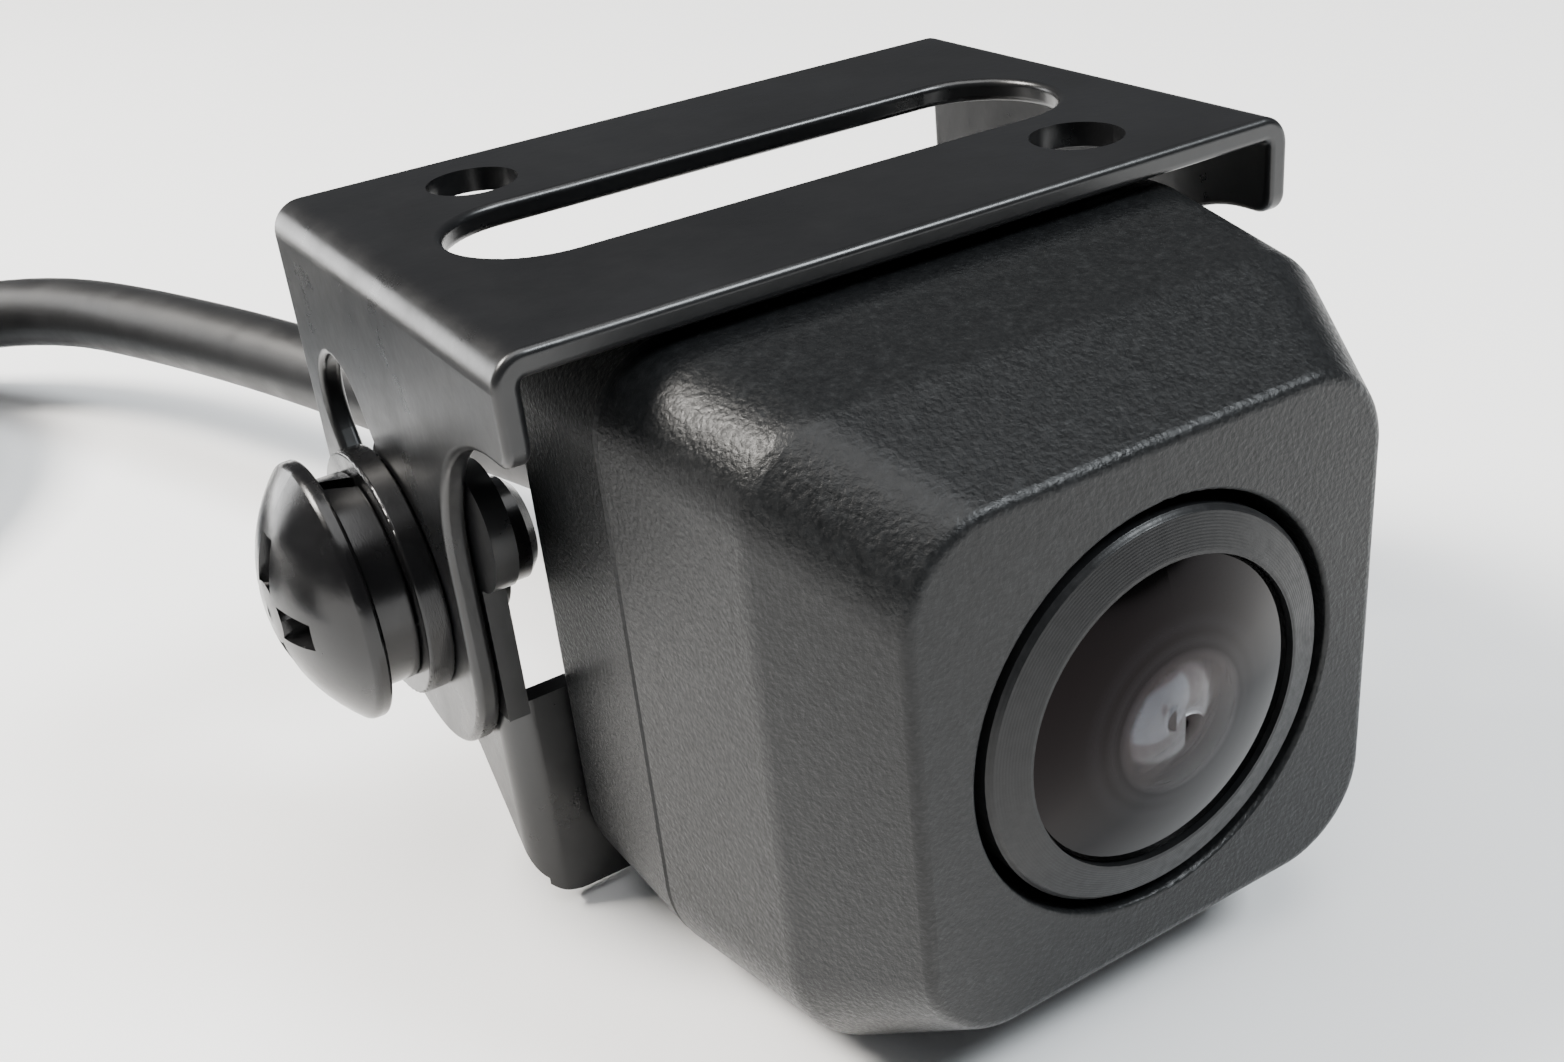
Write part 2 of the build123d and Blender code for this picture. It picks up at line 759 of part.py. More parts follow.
for side, outward in (("left", -1), ("right", 1)):
    ear_face = Plane(
        origin=(outward * (bracket_width / 2 + washer_gap), pivot_y, pivot_z),
        x_dir=(0, outward, 0),
        z_dir=(outward, 0, 0),
    )
    spring_face = ear_face.offset(flat_washer_thickness)
    head_face = spring_face.offset(spring_washer_thickness)
    head_x = head_face.origin.X
    tip_x = head_x - outward * clamp_length

    with BuildPart() as flat_washer:
        with BuildSketch(ear_face):
            Circle(flat_washer_radius)
            Circle(clamp_shank + 0.2, mode=Mode.SUBTRACT)
        extrude(amount=flat_washer_thickness)
        fillet(flat_washer.edges().filter_by(GeomType.CIRCLE), 0.12)
    flat_washer.part.label = f"{side}_flat_washer"
    export_step(flat_washer.part, f"parts/{side}_flat_washer.step")

    with BuildPart() as spring_washer:
        with BuildSketch(spring_face):
            Circle(spring_washer_radius)
            Circle(clamp_shank + 0.1, mode=Mode.SUBTRACT)
        extrude(amount=spring_washer_thickness)
        fillet(spring_washer.edges().filter_by(GeomType.CIRCLE), 0.12)
        with BuildSketch(Plane.YX.offset(-pivot_z - spring_washer_radius)):
            with Locations((pivot_y, (spring_face.origin.X + head_face.origin.X) / 2)):
                Rectangle(spring_split, 3 * spring_washer_thickness, rotation=25)
        extrude(amount=spring_washer_radius, mode=Mode.SUBTRACT)
    spring_washer.part.label = f"{side}_spring_washer"
    export_step(spring_washer.part, f"parts/{side}_spring_washer.step")

    with BuildPart() as clamp_screw:
        half_plane = Plane(head_face.origin, x_dir=(outward, 0, 0), z_dir=(0, -outward, 0))
        with BuildSketch(half_plane) as half_head:
            with BuildLine():
                Polyline((clamp_head_height, 0), (0, 0), (0, clamp_head), (head_rim, clamp_head))
                ThreePointArc(*cap(clamp_head_height, head_rim, clamp_head))
            make_face()
            rim_corners = half_head.vertices().group_by(Axis.Y)[-1].sort_by(Axis.X)
            fillet(rim_corners[0], 0.15)
            fillet(half_head.vertices().sort_by_distance((head_rim, clamp_head))[0], 0.35)
        revolve(axis=Axis(head_face.origin, (1, 0, 0)))
        recess_face = head_face.offset(clamp_head_height - 0.1)
        add(cross_recess(recess_face, 2.9, 1.25, 1.7), mode=Mode.SUBTRACT)
        with BuildSketch(head_face):
            Circle(clamp_shank)
        extrude(amount=-clamp_length)
        chamfer(edges_at(clamp_screw, Axis.X, tip_x), 0.4)
    clamp_screw.part.label = f"{side}_clamp_screw"
    export_step(clamp_screw.part, f"parts/{side}_clamp_screw.step")

# ---- Cable ----------------------------------------------------------------------------------

with BuildPart() as cable_gland:
    with BuildSketch(across(back_depth - back_wall)):
        with Locations((0, cable_z)):
            Circle(gland_flange)
    extrude(amount=gland_flange_thickness)
    with BuildSketch(across(back_depth - back_wall)):
        with Locations((0, cable_z)):
            Circle(gland_radius)
    extrude(amount=-back_wall - sheet)
    with BuildSketch(across(back_depth - back_wall)):
        with Locations((0, cable_z)):
            Circle(cable_radius + running_gap)
    extrude(amount=back_wall + sheet, both=True, mode=Mode.SUBTRACT)
cable_gland.part.label = "cable_gland"
export_step(cable_gland.part, "parts/cable_gland.step")

# Tapered relief with ring grooves, as (along, radius) about the cable's axis
relief_points = [(plate_back_y, cable_radius + running_gap), (plate_back_y, relief_radius)]
relief_length = relief_end_y - plate_back_y
for ring in range(relief_rings):
    groove_y = plate_back_y + relief_length * (0.3 + 0.6 * ring / relief_rings)
    outer = relief_radius + (relief_tip - relief_radius) * (groove_y - plate_back_y) / relief_length
    relief_points += [
        (groove_y, outer),
        (groove_y + 0.15, outer - 0.35),
        (groove_y + 0.6, outer - 0.4),
        (groove_y + 0.75, outer - 0.1),
    ]
relief_points += [(relief_end_y, relief_tip), (relief_end_y, cable_radius + running_gap)]
strain_relief = turned(relief_points, cable_section, cable_axis)
strain_relief.label = "strain_relief"
export_step(strain_relief, "parts/strain_relief.step")


def route_radii(points):
    """Each corner's radius: 0.45 of its shorter run over the tangent of half the turn."""
    radii = []
    for before, corner, after in zip(points, points[1:], points[2:]):
        run_in, run_out = Vector(*corner) - Vector(*before), Vector(*after) - Vector(*corner)
        half_turn = math.radians(run_in.get_angle(run_out)) / 2
        radii.append(0.45 * min(run_in.length, run_out.length) / math.tan(half_turn))
    return radii


def cord_tube(points):
    """The cable's tube along straight runs joined by tangent arcs."""
    radii = route_radii(points)
    print("cord radii", [round(radius, 1) for radius in radii])
    with BuildPart() as tube:
        with BuildLine() as route:
            FilletPolyline(*points, radius=radii)
        with BuildSketch(Plane(route.line @ 0, z_dir=route.line % 0)):
            Circle(cable_radius)
        sweep(path=route.line)
    length = sum(edge.length for edge in route.line.edges())
    volume_share = tube.part.volume / (math.pi * cable_radius**2 * length)
    print("cord length", round(length, 1), "volume over section times length", round(volume_share, 4))
    return tube.part


cable = cord_tube(cable_route)
cable.label = "cable"
export_step(cable, "parts/cable.step")

with BuildPart() as cable_coil:
    with BuildSketch(Plane.XZ.offset(-coil_y)):
        with Locations((coil_x + coil_radius, coil_lift + 2 * cable_radius)):
            RectangleRounded(4 * cable_radius, 4 * cable_radius, cable_radius * 0.95)
    revolve(axis=Axis((coil_x, coil_y, 0), (0, 0, 1)))
cable_coil.part.label = "cable_coil"
export_step(cable_coil.part, "parts/cable_coil.step")

with BuildPart() as coil_tie:
    tie_plane = Plane(
        origin=(coil_x, coil_y - coil_radius, coil_lift + 2 * cable_radius),
        x_dir=(0, 1, 0),
        z_dir=(1, 0, 0),
    )
    with BuildSketch(tie_plane):
        outer_side = 4 * cable_radius + 2 * (tie_gap + tie_thickness)
        RectangleRounded(outer_side, 4 * cable_radius + 2 * tie_thickness, cable_radius)
        RectangleRounded(
            outer_side - 2 * tie_thickness,
            4 * cable_radius,
            cable_radius - tie_thickness,
            mode=Mode.SUBTRACT,
        )
    extrude(amount=tie_width / 2, both=True)
coil_tie.part.label = "coil_tie"
export_step(coil_tie.part, "parts/coil_tie.step")

cable_tail = cord_tube(tail_route)
cable_tail.label = "cable_tail"
export_step(cable_tail, "parts/cable_tail.step")

# ---- In-line connector: outlines are (along, radius), from its cable end --------------------

connector_section = Plane(
    origin=(connector_x, connector_y, connector_z), x_dir=(0, -1, 0), z_dir=(1, 0, 0)
)
connector_axis = Axis((connector_x, connector_y, connector_z), (0, -1, 0))

connector_boot = turned(
    [
        (0, cable_radius + running_gap),
        (0, 2.9),
        (2.0, 3.2),
        (2.2, 2.85),
        (2.8, 2.9),
        (3.0, 3.35),
        (4.6, 3.6),
        (4.8, 3.2),
        (5.4, 3.25),
        (5.6, 3.75),
        (boot_length, 4.2),
        (boot_length, cable_radius + running_gap),
    ],
    connector_section,
    connector_axis,
)
connector_boot.label = "connector_boot"
export_step(connector_boot, "parts/connector_boot.step")

# Flanges at both ends of the bearing keep the collar on; the nose holds the insert
connector_body = turned(
    [
        (boot_length, 0),
        (boot_length, 5.1),
        (9.3, 5.4),
        (11.6, 5.4),
        (11.9, 5.1),
        (11.9, bearing_radius),
        (19.0, bearing_radius),
        (19.0, 5.2),
        (nose_start, 5.2),
        (nose_start, nose_radius),
        (nose_end - 0.3, nose_radius),
        (nose_end, nose_radius - 0.3),
        (nose_end, insert_radius + running_gap),
        (insert_start, insert_radius + running_gap),
        (insert_start, 0),
    ],
    connector_section,
    connector_axis,
)
connector_body.label = "connector_body"
export_step(connector_body, "parts/connector_body.step")

insert_back = Plane(
    origin=(connector_x, connector_y - insert_start, connector_z), x_dir=(1, 0, 0), z_dir=(0, -1, 0)
)
insert_length = nose_end - 0.5 - insert_start
with BuildPart() as connector_insert:
    with BuildSketch(insert_back):
        Circle(insert_radius)
    extrude(amount=insert_length)
    with BuildSketch(insert_back.offset(insert_length)):
        with PolarLocations(contact_circle, contact_count):
            Circle(contact_radius + 0.02)
    extrude(amount=-contact_length, mode=Mode.SUBTRACT)
connector_insert.part.label = "connector_insert"
export_step(connector_insert.part, "parts/connector_insert.step")

with BuildPart() as connector_contacts:
    with BuildSketch(insert_back.offset(insert_length)):
        with PolarLocations(contact_circle, contact_count):
            Circle(contact_radius)
            Circle(contact_radius * 0.6, mode=Mode.SUBTRACT)
    extrude(amount=-contact_length)
connector_contacts.part.label = "connector_contacts"
export_step(connector_contacts.part, "parts/connector_contacts.step")

with BuildPart() as connector_seal:
    with BuildSketch(connector_section):
        with Locations((nose_start + 0.45, nose_radius + 0.45)):
            Circle(0.45)
    revolve(axis=connector_axis)
connector_seal.part.label = "connector_seal"
export_step(connector_seal.part, "parts/connector_seal.step")

collar_outline = turned(
    [
        (12.2, bearing_radius + running_gap),
        (12.2, collar_outer - 0.5),
        (12.7, collar_outer),
        (collar_end - 0.5, collar_outer),
        (collar_end, collar_outer - 0.5),
        (collar_end, collar_thread),
        (18.9, collar_thread),
        (18.9, bearing_radius + running_gap),
    ],
    connector_section,
    connector_axis,
)
with BuildPart() as connector_collar:
    add(collar_outline)
    grip_plane = Plane(
        origin=(connector_x, connector_y - 15.0, connector_z), x_dir=(1, 0, 0), z_dir=(0, -1, 0)
    )
    with BuildSketch(grip_plane):
        with PolarLocations(collar_outer + 0.45, grip_count, start_angle=180 / grip_count - 90):
            Circle(0.8)
    extrude(amount=collar_end - 15.0 - 1.5, mode=Mode.SUBTRACT)
connector_collar.part.label = "connector_collar"
export_step(connector_collar.part, "parts/connector_collar.step")
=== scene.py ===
import math

import bpy
from mathutils import Matrix, Vector


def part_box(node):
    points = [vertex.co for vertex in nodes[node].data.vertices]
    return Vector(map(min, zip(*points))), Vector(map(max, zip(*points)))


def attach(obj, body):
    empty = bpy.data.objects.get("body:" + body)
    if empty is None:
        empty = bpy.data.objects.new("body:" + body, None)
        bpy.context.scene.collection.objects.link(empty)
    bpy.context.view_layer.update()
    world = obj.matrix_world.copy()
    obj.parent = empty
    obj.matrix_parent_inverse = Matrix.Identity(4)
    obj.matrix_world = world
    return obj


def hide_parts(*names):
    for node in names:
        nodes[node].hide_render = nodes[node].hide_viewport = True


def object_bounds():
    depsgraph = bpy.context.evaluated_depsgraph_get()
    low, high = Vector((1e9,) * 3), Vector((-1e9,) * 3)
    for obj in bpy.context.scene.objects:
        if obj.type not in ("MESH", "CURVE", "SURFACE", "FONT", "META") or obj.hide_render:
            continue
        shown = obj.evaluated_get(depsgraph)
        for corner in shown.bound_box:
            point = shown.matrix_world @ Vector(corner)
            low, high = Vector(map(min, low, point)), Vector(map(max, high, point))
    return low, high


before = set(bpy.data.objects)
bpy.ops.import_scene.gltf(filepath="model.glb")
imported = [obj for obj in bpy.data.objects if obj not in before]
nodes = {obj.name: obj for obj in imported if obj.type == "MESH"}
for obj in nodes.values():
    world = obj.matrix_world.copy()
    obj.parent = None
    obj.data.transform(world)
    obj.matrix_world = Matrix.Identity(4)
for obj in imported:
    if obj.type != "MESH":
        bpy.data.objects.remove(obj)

cad_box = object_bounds()
MM = 0.001


# ---- Smooth shading of the CAD surfaces, up to the crease angle ------------------------------

CREASE = math.radians(30)

for cad_object in nodes.values():
    cad_object.data.shade_smooth()
    cad_object.data.set_sharp_from_angle(angle=CREASE)


# ---- Camera and light -----------------------------------------------------------------------

VIEW_AZIMUTH = math.radians(-29.09)
VIEW_ELEVATION = math.radians(28.34)
VIEW_ROLL = math.radians(-6.36)
VIEW_FOCAL = 40.0
VIEW_PLACE = Vector((-29.35, -45.39, 41.82)) * MM
SENSOR_WIDTH = 36
NEAREST_SEEN = 2 * MM
LIGHTS_AIM = Vector((0, 0, 12)) * MM


def direction(azimuth, elevation):
    """The unit vector towards a place round the object; azimuth 0 is in front of the lens."""
    return Vector(
        (
            math.sin(azimuth) * math.cos(elevation),
            -math.cos(azimuth) * math.cos(elevation),
            math.sin(elevation),
        )
    )


def place_camera():
    """The main view, from above the object's front left."""
    toward = direction(VIEW_AZIMUTH, VIEW_ELEVATION)
    level_right = Vector((math.cos(VIEW_AZIMUTH), math.sin(VIEW_AZIMUTH), 0))
    level_up = toward.cross(level_right)
    right = level_right * math.cos(VIEW_ROLL) + level_up * math.sin(VIEW_ROLL)
    up = toward.cross(right)
    lens = bpy.data.cameras.new("camera")
    lens.lens = VIEW_FOCAL
    lens.sensor_width = SENSOR_WIDTH
    lens.clip_start = NEAREST_SEEN
    eye = bpy.data.objects.new("camera", lens)
    turn = Matrix((right, up, toward)).transposed().to_4x4()
    eye.matrix_world = Matrix.Translation(VIEW_PLACE) @ turn
    bpy.context.collection.objects.link(eye)
    bpy.context.scene.camera = eye


def soft_light(name, azimuth, elevation, distance, size, watts, colour=(1, 1, 1)):
    """A square area light that looks at the housing, placed by two angles in degrees and metres."""
    lamp = bpy.data.lights.new(name, "AREA")
    lamp.size = size
    lamp.energy = watts
    lamp.color = colour
    holder = bpy.data.objects.new(name, lamp)
    away = direction(math.radians(azimuth), math.radians(elevation))
    holder.location = away * distance + LIGHTS_AIM
    holder.rotation_euler = away.to_track_quat("Z", "Y").to_euler()
    bpy.context.collection.objects.link(holder)


place_camera()
soft_light("key", -128, 49, 0.45, 0.14, 5.2, (1.0, 0.96, 0.9))
soft_light("fill", 44, 50, 0.5, 0.13, 2.8, (0.9, 0.96, 1.0))
soft_light("top", -10, 84, 0.5, 0.4, 2.2)
soft_light("side", -152, 6, 0.4, 0.16, 0.7)

world = bpy.data.worlds.new("studio")
world.use_nodes = True
sky = world.node_tree.nodes["Background"]
sky.inputs["Color"].default_value = (0.92, 0.95, 1.0, 1)
sky.inputs["Strength"].default_value = 0.12
bpy.context.scene.world = world


# ---- Material helpers -----------------------------------------------------------------------

lens_low, lens_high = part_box("lens_ring")
LENS_PLACE = tuple((low + high) / 2 for low, high in zip(lens_low, lens_high))
# A wave texture at scale 1 repeats about this many times in a metre
WAVES_PER_UNIT = 3.2


class Surface:
    """A Principled material, and short ways to add the textures that drive it."""

    def __init__(self, name, colour, roughness, **sockets):
        self.material = bpy.data.materials.new(name)
        self.material.use_nodes = True
        self.tree = self.material.node_tree
        self.shader = self.tree.nodes["Principled BSDF"]
        self.set("Base Color", (*colour, 1))
        self.set("Roughness", roughness)
        for socket, value in sockets.items():
            self.set(socket.replace("_", " "), value)
        self.place = self.add("ShaderNodeTexCoord").outputs["Object"]
        self.normal = None

    def set(self, socket, value):
        self.shader.inputs[socket].default_value = value

    def add(self, kind, inputs=(), **settings):
        made = self.tree.nodes.new(kind)
        for setting, value in settings.items():
            setattr(made, setting, value)
        for socket, value in dict(inputs).items():
            if isinstance(value, bpy.types.NodeSocket):
                self.tree.links.new(value, made.inputs[socket])
            else:
                made.inputs[socket].default_value = value
        return made

    def noise(self, size, detail, roughness=0.55, stretch=(1, 1, 1)):
        """Noise whose features are about this size in metres."""
        mapped = self.add("ShaderNodeMapping", {"Vector": self.place, "Scale": stretch})
        made = self.add(
            "ShaderNodeTexNoise",
            {
                "Vector": mapped.outputs["Vector"],
                "Scale": 1 / size,
                "Detail": detail,
                "Roughness": roughness,
            },
        )
        return made.outputs["Fac"]

    def cells(self, size):
        """Rounded cells about this size in metres."""
        made = self.add("ShaderNodeTexVoronoi", {"Vector": self.place, "Scale": 1 / size})
        return made.outputs["Distance"]

    def spread(self, value, low, high, out_low, out_high):
        """The value from low to high mapped to another range, and held at its ends."""
        made = self.add(
            "ShaderNodeMapRange",
            {
                "Value": value,
                "From Min": low,
                "From Max": high,
                "To Min": out_low,
                "To Max": out_high,
            },
        )
        return made.outputs["Result"]

    def colours(self, value, *stops):
        """A colour ramp over the value: stops are (position, (r, g, b))."""
        ramp = self.add("ShaderNodeValToRGB", {"Fac": value})
        elements = ramp.color_ramp.elements
        while len(elements) < len(stops):
            elements.new(0.5)
        for element, (position, colour) in zip(elements, stops):
            element.position = position
            element.color = (*colour, 1)
        self.tree.links.new(ramp.outputs["Color"], self.shader.inputs["Base Color"])

    def rough(self, value, low, high, out_low, out_high):
        """The value from low to high mapped to a range of roughness."""
        result = self.spread(value, low, high, out_low, out_high)
        self.tree.links.new(result, self.shader.inputs["Roughness"])

    def bump(self, height, depth, strength=1.0):
        """Adds a height, whose full range is this deep in metres."""
        inputs = {"Height": height, "Distance": depth, "Strength": strength}
        if self.normal:
            inputs["Normal"] = self.normal
        self.normal = self.add("ShaderNodeBump", inputs).outputs["Normal"]
        self.tree.links.new(self.normal, self.shader.inputs["Normal"])

    def rings(self, axis_point, axis, size):
        """A wave of rings about an axis along X or Y, each this wide in metres."""
        mapped = self.add(
            "ShaderNodeMapping", {"Vector": self.place, "Location": tuple(-c for c in axis_point)}
        )
        wave = self.add(
            "ShaderNodeTexWave",
            {
                "Vector": mapped.outputs["Vector"],
                "Scale": 1 / size / WAVES_PER_UNIT,
                "Distortion": 0.6,
            },
            wave_type="RINGS",
            rings_direction=axis,
        )
        return wave.outputs["Fac"]

    def from_lens_axis(self):
        """The distance from the lens axis in metres."""
        mapped = self.add(
            "ShaderNodeMapping",
            {
                "Vector": self.place,
                "Location": (-LENS_PLACE[0], 0, -LENS_PLACE[2]),
                "Scale": (1, 0, 1),
            },
        )
        length = self.add("ShaderNodeVectorMath", {0: mapped.outputs["Vector"]}, operation="LENGTH")
        return length.outputs["Value"]

    def on(self, *names):
        """Puts the material on CAD nodes."""
        for name in names:
            slots = nodes[name].data.materials
            slots.clear()
            slots.append(self.material)


# ---- Materials ------------------------------------------------------------------------------


def housing_material():
    """Charcoal moulding with a fine spark-eroded grain that glints where it faces the light."""
    made = Surface("housing", (0.009, 0.0095, 0.01), 0.4)
    made.set("Specular IOR Level", 0.22)
    grain = made.noise(0.15 * MM, detail=3, roughness=0.65)
    made.colours(
        made.noise(0.4 * MM, detail=5, roughness=0.75),
        (0.3, (0.0045, 0.0048, 0.0052)),
        (0.55, (0.008, 0.0085, 0.009)),
        (0.8, (0.018, 0.019, 0.02)),
    )
    made.rough(grain, 0.35, 0.7, 0.28, 0.5)
    made.bump(made.noise(6 * MM, detail=2), 0.008 * MM)
    made.bump(grain, 0.024 * MM)
    made.bump(made.cells(0.2 * MM), 0.014 * MM, 0.8)
    return made


def powder_coat_material():
    """Semi-gloss black powder coat: a soft orange peel with very fine dust in it."""
    made = Surface("bracket_paint", (0.006, 0.006, 0.0065), 0.3)
    made.colours(
        made.noise(9 * MM, detail=4),
        (0.35, (0.0045, 0.0046, 0.005)),
        (0.7, (0.0075, 0.0077, 0.0083)),
    )
    peel = made.noise(0.9 * MM, detail=2)
    made.rough(made.noise(3 * MM, detail=5, roughness=0.7), 0.3, 0.7, 0.25, 0.36)
    made.bump(peel, 0.012 * MM)
    made.bump(made.noise(0.12 * MM, detail=2), 0.0012 * MM)
    return made


def plated_steel_material(name, colour, roughness):
    """Black plated steel with light turning marks and a worn bloom."""
    made = Surface(name, colour, roughness, Metallic=0.3)
    scratches = made.noise(0.25 * MM, detail=4, stretch=(6, 1, 1))
    made.rough(made.noise(1.2 * MM, detail=5), 0.3, 0.72, roughness * 0.75, roughness * 1.5)
    made.colours(
        made.noise(2.2 * MM, detail=5),
        (0.35, tuple(part * 0.75 for part in colour)),
        (0.75, tuple(part * 1.35 for part in colour)),
    )
    made.bump(scratches, 0.003 * MM)
    return made


def lens_ring_material():
    """Satin anodised aluminium, turned, so its marks run around the lens."""
    made = Surface("lens_ring", (0.008, 0.0085, 0.009), 0.38)
    made.set("Specular IOR Level", 0.22)
    turning = made.rings(LENS_PLACE, "Y", 0.09 * MM)
    made.colours(
        made.noise(0.4 * MM, detail=5, roughness=0.7),
        (0.3, (0.006, 0.0062, 0.0067)),
        (0.75, (0.011, 0.0113, 0.012)),
    )
    made.rough(made.noise(0.3 * MM, detail=4), 0.3, 0.7, 0.3, 0.46)
    made.bump(turning, 0.0025 * MM)
    made.bump(made.noise(0.1 * MM, detail=2), 0.004 * MM)
    return made


def glass_material(name, tint, glint, clear=None):
    """Coated optical glass with a weak glint. Beyond the clear radius, if it has one, it turns
    opaque with painted shade: near-black with faint lighter painted rings, in place of the dark
    lens barrel seen through the glass.
    """
    made = Surface(name, tint, 0.0, Transmission_Weight=1.0, IOR=1.52)
    made.set("Specular Tint", (*glint, 1))
    made.set("Specular IOR Level", 0.22)
    dust = made.noise(0.7 * MM, detail=6, roughness=0.8)
    made.rough(dust, 0.62, 0.8, 0.0, 0.03)
    if clear:
        from_axis = made.from_lens_axis()
        edge = 0.25 * MM
        through = made.spread(from_axis, clear, clear + edge, 1.0, 0.0)
        made.tree.links.new(through, made.shader.inputs["Transmission Weight"])
        # Painted shade: past the clear radius the glass is coloured near-black with faint lighter
        # painted rings, standing in for the dark barrel seen through it
        made.colours(
            made.spread(from_axis, clear - edge, clear + 3 * MM, 0.0, 1.0),
            (0.0, tint),
            (0.06, (0.02, 0.02, 0.022)),
            (0.16, (0.0012, 0.0012, 0.0014)),
            (0.22, (0.006, 0.006, 0.0065)),
            (0.3, (0.001, 0.001, 0.001)),
            (0.38, (0.004, 0.004, 0.0045)),
            (0.5, (0.001, 0.001, 0.001)),
        )
    return made


def baffle_material():
    """Flat black blast-coated metal that swallows stray light round the lenses."""
    made = Surface("lens_barrel", (0.0025, 0.0025, 0.0025), 0.7)
    made.set("Specular IOR Level", 0.15)
    made.colours(
        made.noise(0.3 * MM, detail=5),
        (0.3, (0.0015, 0.0015, 0.0015)),
        (0.75, (0.004, 0.004, 0.004)),
    )
    made.rough(made.noise(0.2 * MM, detail=4), 0.3, 0.7, 0.6, 0.85)
    made.bump(made.noise(0.1 * MM, detail=3), 0.008 * MM)
    return made


def soft_black_material(name, colour, roughness, grain=0.35 * MM, depth=0.006 * MM):
    """Black rubber or a soft jacket, with a bloom that dulls it in patches."""
    made = Surface(name, colour, roughness)
    made.colours(
        made.noise(5 * MM, detail=5),
        (0.3, tuple(part * 0.75 for part in colour)),
        (0.75, tuple(part * 1.4 for part in colour)),
    )
    made.rough(made.noise(2.4 * MM, detail=5), 0.3, 0.7, roughness * 0.85, roughness * 1.2)
    made.bump(made.noise(grain, detail=3), depth)
    return made


def moulded_material(name, colour, roughness, grain=0.2 * MM):
    """A small plastic moulding with a fine grain."""
    made = Surface(name, colour, roughness)
    made.colours(
        made.noise(2.5 * MM, detail=5),
        (0.3, tuple(part * 0.85 for part in colour)),
        (0.75, tuple(min(1.0, part * 1.2) for part in colour)),
    )
    made.rough(made.noise(0.9 * MM, detail=4), 0.3, 0.7, roughness * 0.85, roughness * 1.2)
    made.bump(made.noise(grain, detail=3), 0.008 * MM)
    return made


def board_material():
    """Green solder mask over copper tracks that stand just proud."""
    made = Surface("board", (0.01, 0.075, 0.03), 0.28, Coat_Weight=0.3, Coat_Roughness=0.1)
    tracks = made.add(
        "ShaderNodeTexBrick",
        {"Vector": made.place, "Scale": 1 / (1.6 * MM), "Mortar Size": 0.05, "Bias": -0.3},
    )
    made.colours(
        tracks.outputs["Fac"], (0.0, (0.008, 0.06, 0.025)), (1.0, (0.014, 0.11, 0.045))
    )
    made.bump(tracks.outputs["Fac"], 0.03 * MM)
    made.bump(made.noise(0.5 * MM, detail=4), 0.004 * MM)
    return made


def sensor_material():
    """The pixel field of an image sensor: a fine grid with a dark iridescent sheen."""
    made = Surface("sensor", (0.03, 0.034, 0.045), 0.12, Coat_Weight=0.8, Coat_Roughness=0.02)
    grid = made.add(
        "ShaderNodeTexChecker", {"Vector": made.place, "Scale": 1 / (0.05 * MM)}
    ).outputs["Fac"]
    made.colours(grid, (0.0, (0.022, 0.028, 0.04)), (1.0, (0.045, 0.04, 0.05)))
    made.rough(made.noise(0.4 * MM, detail=3), 0.3, 0.7, 0.08, 0.18)
    return made


def wire_material():
    """Four small wires, each of another colour by its place across the plug."""
    made = Surface("wire", (0.5, 0.03, 0.03), 0.36)
    low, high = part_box("inner_wires")
    across = made.add("ShaderNodeSeparateXYZ", {"Vector": made.place}).outputs["X"]
    place = made.spread(across, low[0], high[0], 0.0, 1.0)
    made.colours(
        place,
        (0.0, (0.5, 0.03, 0.03)),
        (0.3, (0.6, 0.42, 0.05)),
        (0.55, (0.55, 0.55, 0.53)),
        (0.8, (0.02, 0.02, 0.022)),
    )
    made.rough(made.noise(0.5 * MM, detail=3), 0.3, 0.7, 0.3, 0.45)
    made.bump(made.noise(0.3 * MM, detail=3), 0.004 * MM)
    return made


def gold_material():
    """Gold plate over brass, a little uneven."""
    made = Surface("brass_plate", (0.8, 0.56, 0.22), 0.22, Metallic=1.0)
    made.colours(
        made.noise(1.0 * MM, detail=5), (0.3, (0.68, 0.46, 0.17)), (0.75, (0.87, 0.64, 0.28))
    )
    made.rough(made.noise(0.4 * MM, detail=4), 0.3, 0.7, 0.16, 0.34)
    made.bump(made.noise(0.2 * MM, detail=3), 0.004 * MM)
    return made


def strap_material():
    """A woven hook strap: crossed yarns with a fuzzy face."""
    made = Surface("tie", (0.02, 0.02, 0.021), 0.85, Sheen_Weight=0.4, Sheen_Roughness=0.4)
    yarn = 0.35 * MM
    waves = {"Vector": made.place, "Scale": 1 / yarn / WAVES_PER_UNIT}
    across = made.add("ShaderNodeTexWave", waves, bands_direction="Z").outputs["Fac"]
    along = made.add("ShaderNodeTexWave", waves, bands_direction="X").outputs["Fac"]
    weave = made.add("ShaderNodeMath", {0: across, 1: along}, operation="MULTIPLY").outputs[0]
    made.colours(weave, (0.0, (0.008, 0.008, 0.009)), (0.9, (0.035, 0.035, 0.036)))
    made.bump(weave, 0.06 * MM)
    made.bump(made.noise(0.08 * MM, detail=3), 0.01 * MM)
    return made


housing_material().on("front_housing", "rear_housing")
powder_coat_material().on("camera_bracket", "mounting_bracket")
plated_steel_material("clamp_screw", (0.008, 0.008, 0.0085), 0.2).on(
    *(
        side + piece
        for side in ("left_", "right_")
        for piece in ("clamp_screw", "spring_washer", "flat_washer")
    )
)
plated_steel_material("screw", (0.03, 0.03, 0.031), 0.3).on(
    "housing_screws", "bracket_screws", "board_screws"
)
lens_ring_material().on("lens_ring")
glass_material("lens_glass", (0.8, 0.82, 0.86), (0.26, 0.2, 0.21), 2.1 * MM).on("front_lens")
glass_material("inner_glass", (0.7, 0.8, 0.95), (0.7, 0.88, 1.0), 1.5 * MM).on(
    "second_lens", "rear_lens"
)
glass_material("filter_glass", (0.3, 0.5, 0.6), (0.5, 0.4, 0.6)).on("infrared_filter")
baffle_material().on("lens_barrel", "lens_spacer")
